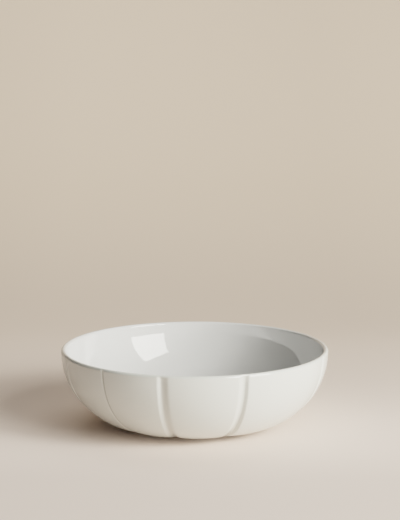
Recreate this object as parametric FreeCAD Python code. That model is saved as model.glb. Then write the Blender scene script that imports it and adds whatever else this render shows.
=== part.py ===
"""A low round porcelain serving bowl, in millimetres.

The outside wall is parted into lobes of uneven width by soft vertical grooves that run from the
lip down under the belly. The inside is plain and smooth. One fired clay wall stands on a bare
foot ring, and glaze covers the rest in three separate coats: inside, outside and under the base.

Frame: +Z up, origin on the table under the centre of the bowl, -Y the front.
An azimuth is counted from the front towards +X.
"""

import FreeCAD
import Part

import math
import os

# Driving dimensions
RIM_RADIUS = 130.0  # at the widest point, on the crest of a lobe
HEIGHT = 75.0
LIP_RADIUS = 2.5  # the lip is a full round, so the wall starts twice as thick
FOOT_HEIGHT = 3.4
FOOT_OUTER_RADIUS = 55.0
FOOT_WIDTH = 6.5
FOOT_CORNER = 1.2
FLOOR_THICKNESS = 5.0  # at the middle, glaze included
GLAZE = 0.3

# The walls are runs of tangent arcs from the lip down, as (radius, steepness where the arc ends).
# Steepness is 0 where a wall is upright and 90 where it lies flat. One more arc takes the outside
# on to the base, and two more take the inside on to the middle of its slightly dished floor.
OUTSIDE_UPPER_ARCS = [(73.0, 16.0), (72.0, 58.5)]
INSIDE_UPPER_ARCS = [(68.0, 16.0), (67.0, 58.5)]
FLOOR_EDGE_STEEPNESS = 87.0
FLOOR_DISC_RADIUS = 6.0  # the flat left at the very middle of the dish

# Lobes and grooves
# A groove is its width to the left and to the right of its middle line, seen from outside, and
# its depth. The front lobe rolls in gently to both of its grooves, and its neighbours steeply.
FLUTE = (4.2, 4.2, 1.9)
FLUTE_STEEP_ON_LEFT = (4.2, 7.5, 1.9)
FLUTE_STEEP_ON_RIGHT = (7.0, 4.0, 1.9)
CREASE = (2.0, 2.0, 0.75)
GROOVES = [
    (-69.3, FLUTE),
    (-40.4, CREASE),
    (-13.3, FLUTE_STEEP_ON_LEFT),
    (20.9, FLUTE_STEEP_ON_RIGHT),
    (70.2, FLUTE),
    (110.2, FLUTE),
    (146.2, FLUTE),
    (191.2, FLUTE),
    (219.2, FLUTE),
    (253.7, FLUTE),
]
LOBE_CROWN = 0.8  # how far a lobe's middle stands proud of its edges
FOOT_FADE = 14.0  # the relief dies away over this length under the belly
LIP_FADE = 8.0  # and weakens over this length up to the lip
LIP_SHARE = 0.8  # how much of it is left there

# Spacing of the surface's control points
GROOVE_STEPS = 4  # across one side of a groove
LOBE_STEP = 3.4
WALL_STEP = 5.0
LIP_STEPS = 6
TANGENT_STEP = 0.35  # from an open edge to the row that holds the surface level there

LIP_CENTRE = (RIM_RADIUS - LIP_RADIUS, HEIGHT - LIP_RADIUS)
FLOOR_HEIGHT = FOOT_HEIGHT + FLOOR_THICKNESS


def direction(steepness):
    """The outward normal (r, z) of a wall at this steepness in degrees."""
    angle = math.radians(steepness)
    return math.cos(angle), -math.sin(angle)


def smooth_step(t):
    t = min(max(t, 0.0), 1.0)
    return t * t * (3.0 - 2.0 * t)


def along_arcs(start, arcs, side):
    """Stations (r, z, normal r, normal z) down a run of tangent arcs that starts upright.

    side is +1 where the normal points away from the bowl's axis and -1 where it points in."""
    stations = []
    (r, z), steepness = start, 0.0
    for radius, end in arcs:
        nr, nz = direction(steepness)
        centre_r, centre_z = r - radius * nr, z - radius * nz
        count = max(2, round(radius * math.radians(end - steepness) / WALL_STEP))
        for i in range(1, count + 1):
            nr, nz = direction(steepness + (end - steepness) * i / count)
            stations.append((centre_r + radius * nr, centre_z + radius * nz, side * nr, side * nz))
        r, z, steepness = stations[-1][0], stations[-1][1], end
    return stations


def lip_stations(first_turn, last_turn):
    """Stations round the lip. Turn 0 is its outer side, 90 its top and 180 its inner side."""
    stations = []
    for i in range(LIP_STEPS + 1):
        turn = math.radians(first_turn + (last_turn - first_turn) * i / LIP_STEPS)
        nr, nz = math.cos(turn), math.sin(turn)
        stations.append((LIP_CENTRE[0] + LIP_RADIUS * nr, LIP_CENTRE[1] + LIP_RADIUS * nz, nr, nz))
    return stations


def outside_wall():
    """Stations down the outside wall. Its last arc is sized to lie flat at the base."""
    start = (RIM_RADIUS, LIP_CENTRE[1])
    steepness = OUTSIDE_UPPER_ARCS[-1][1]
    drop = along_arcs(start, OUTSIDE_UPPER_ARCS, 1)[-1][1] - FOOT_HEIGHT
    last_arc = (drop / (1.0 - math.sin(math.radians(steepness))), 90.0)
    return along_arcs(start, OUTSIDE_UPPER_ARCS + [last_arc], 1)


def inside_wall():
    """Stations down the inside wall and in over the floor.

    The corner arc is sized so that the dish which follows it has its lowest point on the axis,
    at the floor's height."""
    start = (RIM_RADIUS - 2 * LIP_RADIUS, LIP_CENTRE[1])
    r, z = along_arcs(start, INSIDE_UPPER_ARCS, -1)[-1][:2]
    (nr, nz), (edge_nr, edge_nz) = direction(INSIDE_UPPER_ARCS[-1][1]), direction(FLOOR_EDGE_STEEPNESS)
    rise = (1.0 + edge_nz) / edge_nr  # the dish's height over its radius
    corner = (z - FLOOR_HEIGHT - r * rise) / (nz - edge_nz - (nr - edge_nr) * rise)
    dish = (r - corner * (nr - edge_nr)) / edge_nr
    end = math.degrees(math.acos(FLOOR_DISC_RADIUS / dish))
    arcs = INSIDE_UPPER_ARCS + [(corner, FLOOR_EDGE_STEEPNESS), (dish, end)]
    return along_arcs(start, arcs, -1)


def outside_rows():
    """Rows (r, z, normal r, normal z, relief) from the foot ring out and up to the lip's top."""
    wall = outside_wall()[::-1]
    level_r, level_z = wall[0][:2]
    rows = [(r, level_z, 0.0, -1.0, 0.0) for r in (FOOT_OUTER_RADIUS, (FOOT_OUTER_RADIUS + level_r) / 2)]
    run, previous = 0.0, wall[0]
    for station in wall:
        run += math.hypot(station[0] - previous[0], station[1] - previous[1])
        previous = station
        near_lip = 1.0 - smooth_step((LIP_CENTRE[1] - station[1]) / LIP_FADE)
        rows.append(station + (smooth_step(run / FOOT_FADE) * (1.0 - (1.0 - LIP_SHARE) * near_lip),))
    for station in lip_stations(0.0, 90.0):
        rows.append(station + (LIP_SHARE * station[2] ** 2,))
    rows.insert(-1, (LIP_CENTRE[0] + TANGENT_STEP, HEIGHT, 0.0, 1.0, 0.0))
    return rows


def inside_rows():
    """Rows from the lip's top over and down the inside to the middle of the floor, all plain."""
    rows = lip_stations(90.0, 180.0)
    rows.insert(1, (LIP_CENTRE[0] - TANGENT_STEP, HEIGHT, 0.0, 1.0))
    return [row + (0.0,) for row in rows + inside_wall()]


def azimuth_stations(r):
    """Stations (azimuth, relief) round radius r, where the relief is how far the outside is drawn in.

    They crowd together at each groove at the same spacing whatever the radius, so a groove keeps
    its width as the bowl narrows. The crown of a lobe is lowest where it meets its grooves."""
    stations = []
    for k, (start, (_, left_width, left_depth)) in enumerate(GROOVES):
        end, (right_width, _, right_depth) = GROOVES[(k + 1) % len(GROOVES)]
        span = math.radians((end - start) % 360.0)
        start = math.radians(start)
        left_step, right_step = left_width / GROOVE_STEPS, right_width / GROOVE_STEPS
        crowd = GROOVE_STEPS + 1
        first, last = crowd * left_step / r, span - crowd * right_step / r
        between = round((span * RIM_RADIUS - crowd * (left_step + right_step)) / LOBE_STEP)
        offsets = [i * left_step / r for i in range(crowd)]
        offsets += [first + (last - first) * i / between for i in range(between + 1)]
        offsets += [span - i * right_step / r for i in range(crowd - 1, 0, -1)]
        for offset in offsets:
            crown = LOBE_CROWN * (2.0 * offset / span - 1.0) ** 2
            left = groove(offset * r, left_width, left_depth)
            right = groove((span - offset) * r, right_width, right_depth)
            stations.append((start + offset, crown + left + right))
    return stations


def groove(distance, width, depth):
    """How deep a groove is at this distance from its middle line, on a side of this width."""
    if distance >= width:
        return 0.0
    return depth * 0.5 * (1.0 + math.cos(math.pi * distance / width))


def skin(rows, inset):
    """A smooth closed band through rows of control points, drawn in by inset along the normal."""
    grid = []
    for r, z, nr, nz, share in rows:
        points = []
        # Inside the foot ring the relief is gone, so the crowding there stops getting denser
        for azimuth, relief in azimuth_stations(max(r, FOOT_OUTER_RADIUS)):
            drawn_in = inset + share * relief
            radius = r - nr * drawn_in
            points.append(
                FreeCAD.Vector(radius * math.sin(azimuth), -radius * math.cos(azimuth), z - nz * drawn_in)
            )
        grid.append(points)
    around, up = len(grid[0]), len(grid)
    poles = [[grid[j][i] for j in range(up)] for i in range(around)]
    surface = Part.BSplineSurface()
    surface.buildFromPolesMultsKnots(
        poles,
        [1] * (around + 1),
        [4] + [1] * (up - 4) + [4],
        [float(i) for i in range(around + 1)],
        [float(i) for i in range(up - 2)],
        True,
        False,
        3,
        3,
    )
    return surface.toShape()


def ends(face):
    """The closed edges at a skin's two ends, lower first."""
    circles = [edge for edge in face.Edges if edge.isClosed() and edge.Length > math.pi * LIP_RADIUS]
    return sorted(circles, key=lambda edge: (edge.BoundBox.ZMin, edge.BoundBox.XLength))


def disc(edge):
    return Part.Face(Part.Wire([edge]))


def solid(faces):
    """One closed solid from faces that meet along their edges."""
    shell = Part.makeCompound(faces)
    shell.sewShape(0.001)
    body = Part.makeSolid(shell.Shells[0])
    if body.Volume < 0:
        body.reverse()
    if not (body.isValid() and body.isClosed()):
        raise RuntimeError("a piece isn't a closed solid")
    return body


def porcelain_body():
    outside, inside = skin(outside_rows(), GLAZE), skin(inside_rows(), GLAZE)
    return solid([outside, inside, disc(ends(outside)[0]), disc(ends(inside)[0])])


def glaze_outside():
    face, back = skin(outside_rows(), 0.0), skin(outside_rows(), GLAZE)
    closing = [Part.makeRuledSurface(a, b) for a, b in zip(ends(face), ends(back))]
    return solid([face, back] + closing)


def glaze_inside():
    face, back = skin(inside_rows(), 0.0), skin(inside_rows(), GLAZE)
    (floor, lip), (floor_back, lip_back) = ends(face), ends(back)
    return solid([face, back, disc(floor), disc(floor_back), Part.makeRuledSurface(lip, lip_back)])


def glaze_under_base():
    radius = FOOT_OUTER_RADIUS - FOOT_WIDTH
    return Part.makeCylinder(radius, GLAZE, FreeCAD.Vector(0, 0, FOOT_HEIGHT))


def foot_ring():
    """A bare ring with rounded lower corners, fused to the body's underside."""
    inner, outer, top = FOOT_OUTER_RADIUS - FOOT_WIDTH, FOOT_OUTER_RADIUS, FOOT_HEIGHT + GLAZE
    slant = FOOT_CORNER * (1.0 - math.sqrt(0.5))

    def point(r, z):
        return FreeCAD.Vector(r, 0, z)

    outer_corner = Part.Arc(
        point(outer, FOOT_CORNER), point(outer - slant, slant), point(outer - FOOT_CORNER, 0)
    )
    inner_corner = Part.Arc(
        point(inner + FOOT_CORNER, 0), point(inner + slant, slant), point(inner, FOOT_CORNER)
    )
    outline = [
        Part.LineSegment(point(outer, top), point(outer, FOOT_CORNER)),
        outer_corner,
        Part.LineSegment(point(outer - FOOT_CORNER, 0), point(inner + FOOT_CORNER, 0)),
        inner_corner,
        Part.LineSegment(point(inner, FOOT_CORNER), point(inner, top)),
        Part.LineSegment(point(inner, top), point(outer, top)),
    ]
    section = Part.Face(Part.Wire([piece.toShape() for piece in outline]))
    return section.revolve(FreeCAD.Vector(0, 0, 0), FreeCAD.Vector(0, 0, 1), 360)


PIECES = {
    "porcelain_body": porcelain_body,
    "foot_ring": foot_ring,
    "glaze_inside": glaze_inside,
    "glaze_outside": glaze_outside,
    "glaze_under_base": glaze_under_base,
}

os.makedirs("parts", exist_ok=True)
for name, build in PIECES.items():
    piece = build()
    piece.exportStep(f"parts/{name}.step")
    print(name, "volume", round(piece.Volume), "mm3")
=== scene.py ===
"""A white glazed porcelain serving bowl on a pale seamless sweep, in soft studio light.

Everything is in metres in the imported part's frame: +Z up, the table at z = 0, -Y the front. The
bowl's section is a run of tangent arcs and its lobes and grooves are a formula, so the glaze is
one smooth surface that runs from the foot out, up over the lip and down to the middle of the floor.
"""

import math

import bmesh
import bpy
import numpy as np
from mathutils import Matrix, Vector


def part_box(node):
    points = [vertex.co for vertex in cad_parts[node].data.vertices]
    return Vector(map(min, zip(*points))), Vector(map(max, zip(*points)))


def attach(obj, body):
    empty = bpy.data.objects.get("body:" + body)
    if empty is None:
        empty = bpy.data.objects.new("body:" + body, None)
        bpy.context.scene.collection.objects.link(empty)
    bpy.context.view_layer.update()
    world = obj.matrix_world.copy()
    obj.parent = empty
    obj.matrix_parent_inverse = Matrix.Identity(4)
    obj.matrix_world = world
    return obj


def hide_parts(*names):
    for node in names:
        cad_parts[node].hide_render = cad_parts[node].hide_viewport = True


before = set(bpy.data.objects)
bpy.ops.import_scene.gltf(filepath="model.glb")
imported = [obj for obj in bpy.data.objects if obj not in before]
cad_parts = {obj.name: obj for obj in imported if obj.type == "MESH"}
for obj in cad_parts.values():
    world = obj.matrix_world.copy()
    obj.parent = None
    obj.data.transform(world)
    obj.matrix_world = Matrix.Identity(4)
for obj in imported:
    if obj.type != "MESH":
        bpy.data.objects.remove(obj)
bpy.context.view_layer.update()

# The bowl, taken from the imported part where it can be
RIM_RADIUS = (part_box("glaze_outside")[1].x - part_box("glaze_outside")[0].x) / 2
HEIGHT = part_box("glaze_inside")[1].z
BASE_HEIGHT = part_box("glaze_outside")[0].z
FOOT_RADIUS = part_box("foot_ring")[1].x
LIP_RADIUS = 0.0025
FLOOR_THICKNESS = 0.005
FLOOR_HEIGHT = BASE_HEIGHT + FLOOR_THICKNESS

# The wall's arcs from the lip down: radius, and the steepness they end at, 0 upright and 90 flat
OUTSIDE_ARCS = [(0.073, 16.0), (0.072, 58.5)]
INSIDE_ARCS = [(0.068, 16.0), (0.067, 58.5)]
FLOOR_EDGE_STEEPNESS = 87.0
NEARLY_FLAT = 89.98

# A groove: its width to the left and to the right of its middle line, seen from outside, its depth,
# and how dark its glaze is painted, 0 to 1: partly glaze pooled in it, partly painted shade
FLUTE = (0.0042, 0.0042, 0.0019, 0.25)
# The two uneven flutes are painted dark by different amounts, to follow the light on each: painted shade
FLUTE_STEEP_ON_LEFT = (0.0042, 0.0075, 0.0019, 0.0)
FLUTE_STEEP_ON_RIGHT = (0.0070, 0.0040, 0.0019, 0.4)
# The crease is painted fully dark, as a painted shade line along it
CREASE = (0.0020, 0.0020, 0.00075, 1.0)
# Each groove's azimuth in degrees, counted from the front towards +X, and its kind
GROOVES = [
    (-69.3, FLUTE),
    (-40.4, CREASE),
    (-13.3, FLUTE_STEEP_ON_LEFT),
    (20.9, FLUTE_STEEP_ON_RIGHT),
    (70.2, FLUTE),
    (110.2, FLUTE),
    (146.2, FLUTE),
    (191.2, FLUTE),
    (219.2, FLUTE),
    (253.7, FLUTE),
]
LOBE_CROWN = 0.0008

# The relief grows over FOOT_FADE from the foot up, and drops over LIP_FADE to LIP_SHARE at the lip
FOOT_FADE = 0.014
LIP_FADE = 0.008
LIP_SHARE = 0.8

# How fine the mesh is: steps across half a groove and half the lip, and lengths elsewhere
GROOVE_STEPS = 10
LOBE_STEP = 0.0022
WALL_STEP = 0.0022
LIP_STEPS = 12

LIP_CENTRE = (RIM_RADIUS - LIP_RADIUS, HEIGHT - LIP_RADIUS)


# ---------------------------------------------------------------- the bowl's surface


def direction(steepness):
    """The outward normal (r, z) of a wall at this steepness, 0 upright and 90 flat."""
    angle = math.radians(steepness)
    return math.cos(angle), -math.sin(angle)


def smooth_step(t):
    """0 up to t = 0, 1 from t = 1 on, and a smooth rise between."""
    t = min(max(t, 0.0), 1.0)
    return t * t * (3.0 - 2.0 * t)


def along_arcs(start, arcs, side):
    """Stations (r, z, normal r, normal z) down a run of tangent arcs that starts upright."""
    stations = []
    (r, z), steepness = start, 0.0
    for radius, end in arcs:
        nr, nz = direction(steepness)
        centre_r, centre_z = r - radius * nr, z - radius * nz
        count = max(2, round(radius * math.radians(end - steepness) / WALL_STEP))
        for i in range(1, count + 1):
            nr, nz = direction(steepness + (end - steepness) * i / count)
            stations.append((centre_r + radius * nr, centre_z + radius * nz, side * nr, side * nz))
        r, z, steepness = stations[-1][0], stations[-1][1], end
    return stations


def outside_rows():
    """Rows (r, z, normal r, normal z, share of the relief) from the foot up to the lip's outer side."""
    start = (RIM_RADIUS, LIP_CENTRE[1])
    drop = along_arcs(start, OUTSIDE_ARCS, 1)[-1][1] - BASE_HEIGHT
    last_arc = (drop / (1.0 + direction(OUTSIDE_ARCS[-1][1])[1]), 90.0)
    wall = along_arcs(start, OUTSIDE_ARCS + [last_arc], 1)[::-1]
    rows = [(FOOT_RADIUS, BASE_HEIGHT, 0.0, -1.0, 0.0)]
    run, previous = 0.0, wall[0]
    for station in wall:
        run += math.dist(station[:2], previous[:2])
        previous = station
        near_lip = 1.0 - smooth_step((LIP_CENTRE[1] - station[1]) / LIP_FADE)
        share = smooth_step(run / FOOT_FADE) * (1.0 - (1.0 - LIP_SHARE) * near_lip)
        rows.append((*station, share))
    return rows


def lip_rows():
    """Rows over the lip, from its outer side to its inner side. The relief ends at its top."""
    rows = []
    for i in range(2 * LIP_STEPS + 1):
        turn = math.radians(90.0 * i / LIP_STEPS)
        nr, nz = math.cos(turn), math.sin(turn)
        share = LIP_SHARE * max(nr, 0.0) ** 2
        rows.append((LIP_CENTRE[0] + LIP_RADIUS * nr, LIP_CENTRE[1] + LIP_RADIUS * nz, nr, nz, share))
    return rows


def inside_rows():
    """Rows down the inside wall and over the slightly dished floor to its middle."""
    start = (RIM_RADIUS - 2 * LIP_RADIUS, LIP_CENTRE[1])
    r, z = along_arcs(start, INSIDE_ARCS, -1)[-1][:2]
    (nr, nz), (edge_nr, edge_nz) = direction(INSIDE_ARCS[-1][1]), direction(FLOOR_EDGE_STEEPNESS)
    rise = (1.0 + edge_nz) / edge_nr
    corner = (z - FLOOR_HEIGHT - r * rise) / (nz - edge_nz - (nr - edge_nr) * rise)
    dish = (r - corner * (nr - edge_nr)) / edge_nr
    arcs = INSIDE_ARCS + [(corner, FLOOR_EDGE_STEEPNESS), (dish, NEARLY_FLAT)]
    return [(*station, 0.0) for station in along_arcs(start, arcs, -1)]


def groove_shape(distance, half_width):
    """1 on a groove's middle line, down to 0 at its edges."""
    return 0.5 * (1.0 + np.cos(np.pi * np.minimum(distance / half_width, 1.0)))


def azimuth_stations(r):
    """Arrays round radius r: azimuth, how far the outside is drawn in, and how dark the glaze is painted:
    pooled glaze and painted shade.
    """
    azimuths, reliefs, pool_shades = [], [], []
    crowd = GROOVE_STEPS + 1
    for k, (start, (_, left_width, left_depth, left_pool_shade)) in enumerate(GROOVES):
        end, (right_width, _, right_depth, right_pool_shade) = GROOVES[(k + 1) % len(GROOVES)]
        span = math.radians((end - start) % 360.0)
        left_step, right_step = left_width / GROOVE_STEPS, right_width / GROOVE_STEPS
        first, last = crowd * left_step / r, span - crowd * right_step / r
        between = round((span * RIM_RADIUS - crowd * (left_step + right_step)) / LOBE_STEP)
        offsets = [i * left_step / r for i in range(crowd)]
        offsets += [first + (last - first) * i / between for i in range(between + 1)]
        offsets += [span - i * right_step / r for i in range(crowd - 1, 0, -1)]
        offset = np.array(offsets)  # along the lobe, from its left groove's middle to its right one's
        left = groove_shape(offset * r, left_width)
        right = groove_shape((span - offset) * r, right_width)
        crown = LOBE_CROWN * (2.0 * offset / span - 1.0) ** 2
        azimuths.append(math.radians(start) + offset)
        reliefs.append(crown + left_depth * left + right_depth * right)
        pool_shades.append(left_pool_shade * left**3 + right_pool_shade * right**3)
    return np.concatenate(azimuths), np.concatenate(reliefs), np.concatenate(pool_shades)


def surface(rows):
    """Points [row, column] of the glaze's surface, and how dark the glaze is painted at each, 0 to 1, for
    pooled glaze and painted shade.
    """
    points, pool_shades = [], []
    for r, z, nr, nz, share in rows:
        azimuth, relief, pool_shade = azimuth_stations(max(r, FOOT_RADIUS))
        radius = r - nr * share * relief
        height = z - nz * share * relief
        points.append(np.stack([radius * np.sin(azimuth), -radius * np.cos(azimuth), height], axis=1))
        pool_shades.append(share * pool_shade)
    return np.array(points), np.array(pool_shades)


def normals_of(points):
    """A unit normal at each point of the surface, from its neighbours along and round."""
    around = np.roll(points, -1, axis=1) - np.roll(points, 1, axis=1)
    along = np.gradient(points, axis=0)
    normals = np.cross(around, along)
    return normals / np.linalg.norm(normals, axis=2, keepdims=True)


def link(made):
    """Put a new object in the scene."""
    bpy.context.scene.collection.objects.link(made)
    return made


def skin(name, points, normals, pool_shades, close_end):
    """A mesh of quads over a band of the surface. close_end fans its last row to a middle point."""
    up, around = points.shape[:2]
    bm = bmesh.new()
    # The groove layer holds how dark the glaze is painted: pooled glaze and painted shade
    layer = bm.verts.layers.float.new("groove")
    grid = []
    for j in range(up):
        row = []
        for i in range(around):
            vertex = bm.verts.new(points[j, i])
            vertex[layer] = pool_shades[j, i]
            row.append(vertex)
        grid.append(row)
    flat_normals = [normals.reshape(-1, 3)]
    for j in range(up - 1):
        for i in range(around):
            n = (i + 1) % around
            bm.faces.new((grid[j][i], grid[j][n], grid[j + 1][n], grid[j + 1][i]))
    if close_end:
        middle = bm.verts.new((0.0, 0.0, points[-1, :, 2].mean()))
        flat_normals.append(np.array([[0.0, 0.0, 1.0]]))
        for i in range(around):
            bm.faces.new((grid[-1][i], grid[-1][(i + 1) % around], middle))
    mesh = bpy.data.meshes.new(name)
    bm.to_mesh(mesh)
    bm.free()
    mesh.polygons.foreach_set("use_smooth", [True] * len(mesh.polygons))
    mesh.normals_split_custom_set_from_vertices(np.concatenate(flat_normals).tolist())
    return link(bpy.data.objects.new(name, mesh))


# ---------------------------------------------------------------- materials

# The mix node's sockets for colours: its share and two colours in, and its colour out
MIX_SHARE, MIX_A, MIX_B = 0, 6, 7
MIX_RESULT = 2


def scaled(tone, shares):
    """A tone with each of its channels scaled, as an opaque colour."""
    return (*(channel * share for channel, share in zip(tone, shares)), 1.0)


class Graph:
    """A short way to write a node material."""

    def __init__(self, name):
        self.material = bpy.data.materials.new(name)
        self.material.use_nodes = True
        self.tree = self.material.node_tree
        self.tree.nodes.clear()
        self.output = self.tree.nodes.new("ShaderNodeOutputMaterial")
        self.shader = self.tree.nodes.new("ShaderNodeBsdfPrincipled")
        self.tree.links.new(self.shader.outputs[0], self.output.inputs["Surface"])
        self.place = self.tree.nodes.new("ShaderNodeTexCoord").outputs["Object"]

    def feed(self, socket, value):
        """Put a plain value in a socket, or link another node's output to it."""
        if hasattr(value, "is_output"):
            self.tree.links.new(value, socket)
        else:
            socket.default_value = value

    def node(self, kind, inputs=None, **settings):
        made = self.tree.nodes.new("ShaderNode" + kind)
        for key, value in settings.items():
            setattr(made, key, value)
        for key, value in (inputs or {}).items():
            self.feed(made.inputs[key], value)
        return made

    def noise(self, scale, detail=2.0, roughness=0.5):
        inputs = {"Vector": self.place, "Scale": scale, "Detail": detail, "Roughness": roughness}
        return self.node("TexNoise", inputs).outputs["Fac"]

    def ranged(self, value, low, high, to_low=0.0, to_high=1.0):
        inputs = {"Value": value, "From Min": low, "From Max": high, "To Min": to_low, "To Max": to_high}
        return self.node("MapRange", inputs).outputs["Result"]

    def math(self, operation, a, b):
        return self.node("Math", {0: a, 1: b}, operation=operation).outputs[0]

    def mixed(self, share, a, b):
        """Colour a going over to colour b as share goes from 0 to 1."""
        made = self.node("Mix", data_type="RGBA")
        for socket, value in ((MIX_SHARE, share), (MIX_A, a), (MIX_B, b)):
            self.feed(made.inputs[socket], value)
        return made.outputs[MIX_RESULT]

    def bump(self, height, distance, strength=1.0, under=None):
        made = self.node("Bump", {"Height": height, "Distance": distance, "Strength": strength})
        if under is not None:
            self.feed(made.inputs["Normal"], under)
        return made.outputs["Normal"]

    def finish(self, colour, roughness, normal, **plain):
        self.feed(self.shader.inputs["Base Color"], colour)
        self.feed(self.shader.inputs["Roughness"], roughness)
        self.feed(self.shader.inputs["Normal"], normal)
        for key, value in plain.items():
            self.shader.inputs[key.replace("_", " ")].default_value = value
        return self.material


# The colour of the glaze on its clay, how it drifts, and how dark it is painted in a groove, for pooled
# glaze and painted shade
INSIDE_TONE = (0.71, 0.71, 0.70)
OUTSIDE_TONE = (0.70, 0.715, 0.67)
TONE_DRIFT = (0.985, 0.99, 1.0)
POOL_SHADE_SHARES = (0.62, 0.62, 0.6)
SPECK_COLOUR = (0.45, 0.42, 0.38, 1.0)
SPECK_STRENGTH = 0.35
SPECK_RANGE = (0.79, 0.82)
GLAZE_ROUGHNESS = (0.03, 0.06)
GLAZE_SPECULAR = 1.0
REFRACTION = 1.5

# How fine each unevenness is, as its noise's scale per metre, and how high it stands
DRIFT_SCALE = 14.0
SPECK_SCALE = 900.0
GLOSS_SCALE = 60.0
PEEL_SCALE, PEEL_HEIGHT = 320.0, 0.000004
WAVE_SCALE, WAVE_HEIGHT = 45.0, 0.00003


def glaze_material(name, tone):
    """Clear gloss glaze over white porcelain, in soft orange peel, painted darker in a groove for pooled
    glaze and painted shade.
    """
    g = Graph(name)
    drift = g.ranged(g.noise(DRIFT_SCALE, 3.0), 0.35, 0.65)
    colour = g.mixed(drift, (*tone, 1.0), scaled(tone, TONE_DRIFT))
    groove = g.node("Attribute", attribute_name="groove").outputs["Fac"]
    # Painted shade in the grooves, together with the glaze pooled there
    colour = g.mixed(groove, colour, scaled(tone, POOL_SHADE_SHARES))
    speck = g.ranged(g.noise(SPECK_SCALE, 1.0), *SPECK_RANGE)
    colour = g.mixed(g.math("MULTIPLY", speck, SPECK_STRENGTH), colour, SPECK_COLOUR)
    roughness = g.ranged(g.noise(GLOSS_SCALE, 3.0), 0.3, 0.7, *GLAZE_ROUGHNESS)
    peel = g.bump(g.noise(PEEL_SCALE, 1.0), PEEL_HEIGHT)
    wave = g.bump(g.noise(WAVE_SCALE, 1.0), WAVE_HEIGHT, under=peel)
    return g.finish(colour, roughness, wave, IOR=REFRACTION, Specular_IOR_Level=GLAZE_SPECULAR)


BARE_DARK = (0.66, 0.62, 0.55, 1.0)
BARE_PALE = (0.74, 0.71, 0.65, 1.0)
BARE_ROUGHNESS = (0.72, 0.9)
BARE_SPECULAR = 0.3
CLOUD_SCALE = 90.0
GRAIN_COLOUR = (0.52, 0.47, 0.41, 1.0)
GRAIN_STRENGTH = 0.5
GRAIN_SCALE, GRAIN_HEIGHT = 2600.0, 0.00006


def bare_material(name):
    """Unglazed porcelain: fine dry grain, faintly clouded and soiled."""
    g = Graph(name)
    cloud = g.ranged(g.noise(CLOUD_SCALE, 4.0), 0.3, 0.7)
    colour = g.mixed(cloud, BARE_DARK, BARE_PALE)
    grain = g.noise(GRAIN_SCALE, 2.0, 0.6)
    colour = g.mixed(g.ranged(grain, 0.55, 0.75, 0.0, GRAIN_STRENGTH), colour, GRAIN_COLOUR)
    roughness = g.ranged(grain, 0.3, 0.7, *BARE_ROUGHNESS)
    rough = g.bump(grain, GRAIN_HEIGHT, 0.8)
    return g.finish(colour, roughness, rough, IOR=REFRACTION, Specular_IOR_Level=BARE_SPECULAR)


# The paper's colour under the bowl, and from BACKDROP_DEPTH behind it on
FLOOR_PAPER = (1.0, 0.845, 0.755, 1.0)
BACKDROP_PAPER = (0.86, 0.69, 0.545, 1.0)
BACKDROP_DEPTH = 0.9
PAPER_ROUGHNESS = (0.85, 0.95)
PAPER_SPECULAR = 0.2
MOTTLE_SCALE = 20.0
FIBRE_SCALE, FIBRE_HEIGHT = 700.0, 0.00002

# Painted light and shade on the paper: how much of that colour it keeps at each depth, from in front of
# the bowl to far behind it, brightest just in front of the bowl and darkest where it curves up
PAINTED_LIGHT_ON_PAPER = [
    (-0.45, 0.78),
    (-0.19, 0.83),
    (-0.10, 1.0),
    (0.05, 0.95),
    (0.18, 0.86),
    (0.39, 0.93),
    (0.63, 0.71),
    (0.95, 0.98),
    (1.25, 0.90),
]

# And painted shade across it: how much it keeps this far to the bowl's left, and this far to its right
PAINTED_SHADE_WIDTH = 0.2
PAINTED_SHADE_ACROSS = (1.0, 0.86)


def painted_light_ramp(g, depth):
    """A colour ramp that runs smoothly through the light and shade painted on the paper."""
    front, back = PAINTED_LIGHT_ON_PAPER[0][0], PAINTED_LIGHT_ON_PAPER[-1][0]
    ramp = g.node("ValToRGB", {"Fac": g.ranged(depth, front, back)})
    ramp.color_ramp.interpolation = "B_SPLINE"
    stops = ramp.color_ramp.elements
    for place, _ in PAINTED_LIGHT_ON_PAPER[1:-1]:
        stops.new((place - front) / (back - front))
    for stop, (_, shade) in zip(stops, PAINTED_LIGHT_ON_PAPER):
        stop.color = (shade, shade, shade, 1.0)
    return ramp.outputs["Color"]


def stage_material(name):
    """Matt paper, yellower up the backdrop, with painted shade where it curves up, in front and to the
    right, and painted light just in front of the bowl.
    """
    g = Graph(name)
    place = g.node("SeparateXYZ", {"Vector": g.place}).outputs
    colour = g.mixed(g.ranged(place["Y"], 0.0, BACKDROP_DEPTH), FLOOR_PAPER, BACKDROP_PAPER)
    # Painted light and shade by depth, then painted shade from left to right
    painted_light = painted_light_ramp(g, place["Y"])
    painted_shade_across = g.ranged(place["X"], -PAINTED_SHADE_WIDTH, PAINTED_SHADE_WIDTH, *PAINTED_SHADE_ACROSS)
    colour = g.node("VectorMath", {0: colour, 1: painted_light}, operation="MULTIPLY").outputs[0]
    colour = g.node("VectorMath", {0: colour, "Scale": painted_shade_across}, operation="SCALE").outputs[0]
    fibre = g.bump(g.noise(FIBRE_SCALE, 3.0), FIBRE_HEIGHT)
    roughness = g.ranged(g.noise(MOTTLE_SCALE), 0.3, 0.7, *PAPER_ROUGHNESS)
    return g.finish(colour, roughness, fibre, Specular_IOR_Level=PAPER_SPECULAR)


def dress(piece, material):
    """Give a piece this one material."""
    piece.data.materials.clear()
    piece.data.materials.append(material)


# ---------------------------------------------------------------- the bowl

rows_outside, rows_lip, rows_inside = outside_rows(), lip_rows(), inside_rows()
# Each point also carries how dark its glaze is painted, for pooled glaze and painted shade
all_points, all_pool_shades = surface(rows_outside + rows_lip + rows_inside)
all_normals = normals_of(all_points)
top = len(rows_outside) + LIP_STEPS

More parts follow.
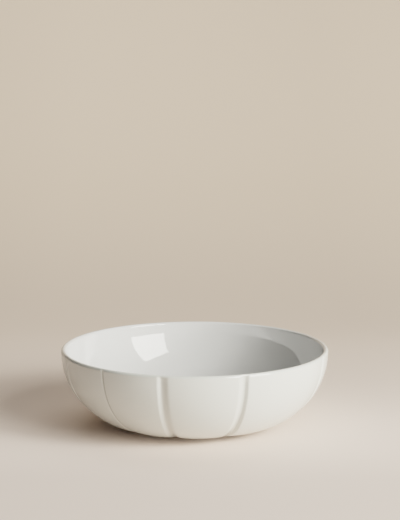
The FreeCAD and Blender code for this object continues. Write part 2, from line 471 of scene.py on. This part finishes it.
# Both coats have the lip's top row
outer_part = slice(0, top + 1)
inner_part = slice(top, None)
outer = skin("outer_glaze", all_points[outer_part], all_normals[outer_part], all_pool_shades[outer_part], False)
inner = skin("inner_glaze", all_points[inner_part], all_normals[inner_part], all_pool_shades[inner_part], True)

white_glaze = glaze_material("white_glaze_gloss", INSIDE_TONE)
outer_glaze = glaze_material("white_glaze_gloss_outside", OUTSIDE_TONE)
bare_porcelain = bare_material("bare_porcelain_grain")
dress(outer, outer_glaze)
dress(inner, white_glaze)
for node in ("porcelain_body", "foot_ring"):
    dress(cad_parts[node], bare_porcelain)
dress(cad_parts["glaze_under_base"], white_glaze)

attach(outer, "root")
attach(inner, "root")
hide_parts("glaze_outside")
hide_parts("glaze_inside")

# ---------------------------------------------------------------- the stage

FLOOR_FRONT = -0.7
FLOOR_STATIONS = (-0.3, 0.0, 0.2)
SWEEP_START = 0.45
SWEEP_RADIUS = 0.8
WALL_TOP = 1.3
STAGE_HALF_WIDTH = 0.85
SWEEP_STEPS = 24


def seamless_sweep():
    """The floor runs back, curves up and becomes the backdrop, in one sheet."""
    line = [(y, 0.0) for y in (FLOOR_FRONT, *FLOOR_STATIONS)]
    for i in range(SWEEP_STEPS + 1):
        a = 0.5 * math.pi * i / SWEEP_STEPS
        line.append((SWEEP_START + SWEEP_RADIUS * math.sin(a), SWEEP_RADIUS * (1.0 - math.cos(a))))
    line.append((SWEEP_START + SWEEP_RADIUS, WALL_TOP))
    bm = bmesh.new()
    edges = [[bm.verts.new((x, y, z)) for y, z in line] for x in (-STAGE_HALF_WIDTH, STAGE_HALF_WIDTH)]
    for j in range(len(line) - 1):
        bm.faces.new((edges[0][j], edges[1][j], edges[1][j + 1], edges[0][j + 1]))
    mesh = bpy.data.meshes.new("seamless_sweep")
    bm.to_mesh(mesh)
    bm.free()
    mesh.polygons.foreach_set("use_smooth", [True] * len(mesh.polygons))
    return link(bpy.data.objects.new("seamless_sweep", mesh))


sweep = seamless_sweep()
dress(sweep, stage_material("sweep_paper"))

# ---------------------------------------------------------------- light and camera


def aim(thing, at):
    """Turn a light to face a place."""
    thing.rotation_euler = (Vector(at) - thing.location).to_track_quat("-Z", "Y").to_euler()


def round_bowl(azimuth, elevation, distance):
    """A place round the bowl. The azimuth is counted from the front towards +X."""
    a, e = math.radians(azimuth), math.radians(elevation)
    return distance * Vector((math.cos(e) * math.sin(a), -math.cos(e) * math.cos(a), math.sin(e)))


def panel(name, location, at, size, power, colour):
    """A soft rectangular light at one place, facing another."""
    data = bpy.data.lights.new(name, "AREA")
    data.shape = "RECTANGLE"
    data.size, data.size_y = size
    data.energy = power
    data.color = colour
    lamp = link(bpy.data.objects.new(name, data))
    lamp.location = location
    aim(lamp, at)
    return lamp


BOWL_MIDDLE = (0.0, 0.0, 0.04)
LIGHT_TONE = (1.0, 0.975, 0.89)
SKY_TONE = (0.95, 0.97, 1.0, 1.0)
SKY_STRENGTH = 0.03

# The upright softbox, and the point at its own height that it faces
SOFTBOX_PLACE = (1.18, -1.21, 0.79)
SOFTBOX_AIM = (0.223, -0.92, 0.79)
SOFTBOX_SIZE = (1.15, 1.56)
SOFTBOX_POWER = 72.0

# A wide panel high up behind: where it is round the bowl, its size and its power
BACK_WASH_PLACE = (175, 65, 2.0)
BACK_WASH_SIZE = (2.2, 1.0)
BACK_WASH_POWER = 11.5

# Lamps that the glaze doesn't mirror: azimuth, elevation and power
KEY_LAMPS = {"key_core": (60, 25, 26.0), "key_edge": (80, 14, 14.0)}
KEY_LAMP_DISTANCE = 1.8
KEY_LAMP_SIZE = (0.5, 0.35)

panel("key_softbox", SOFTBOX_PLACE, SOFTBOX_AIM, SOFTBOX_SIZE, SOFTBOX_POWER, LIGHT_TONE)
panel("back_wash", round_bowl(*BACK_WASH_PLACE), BOWL_MIDDLE, BACK_WASH_SIZE, BACK_WASH_POWER, LIGHT_TONE)
for name, (azimuth, elevation, power) in KEY_LAMPS.items():
    place = round_bowl(azimuth, elevation, KEY_LAMP_DISTANCE)
    lamp = panel(name, place, BOWL_MIDDLE, KEY_LAMP_SIZE, power, LIGHT_TONE)
    lamp.visible_glossy = False

world = bpy.data.worlds.new("studio")
world.use_nodes = True
world.node_tree.nodes["Background"].inputs["Color"].default_value = SKY_TONE
world.node_tree.nodes["Background"].inputs["Strength"].default_value = SKY_STRENGTH
bpy.context.scene.world = world

# The camera looks along +Y and dips CAMERA_DIP degrees below the level
CAMERA_PLACE = (0.00518, -1.40863, 0.37471)
CAMERA_LENS = 102.05
CAMERA_SENSOR = 36.0
CAMERA_DIP = 8.65
CAMERA_FAR = 20.0

camera_data = bpy.data.cameras.new("camera")
camera_data.lens = CAMERA_LENS
camera_data.sensor_width = CAMERA_SENSOR
camera_data.clip_end = CAMERA_FAR
camera = link(bpy.data.objects.new("camera", camera_data))
camera.location = CAMERA_PLACE
camera.rotation_euler = (math.radians(90.0 - CAMERA_DIP), 0.0, 0.0)
bpy.context.scene.camera = camera
bpy.context.scene.view_settings.view_transform = "Filmic"
bpy.context.scene.view_settings.look = "Medium Contrast"
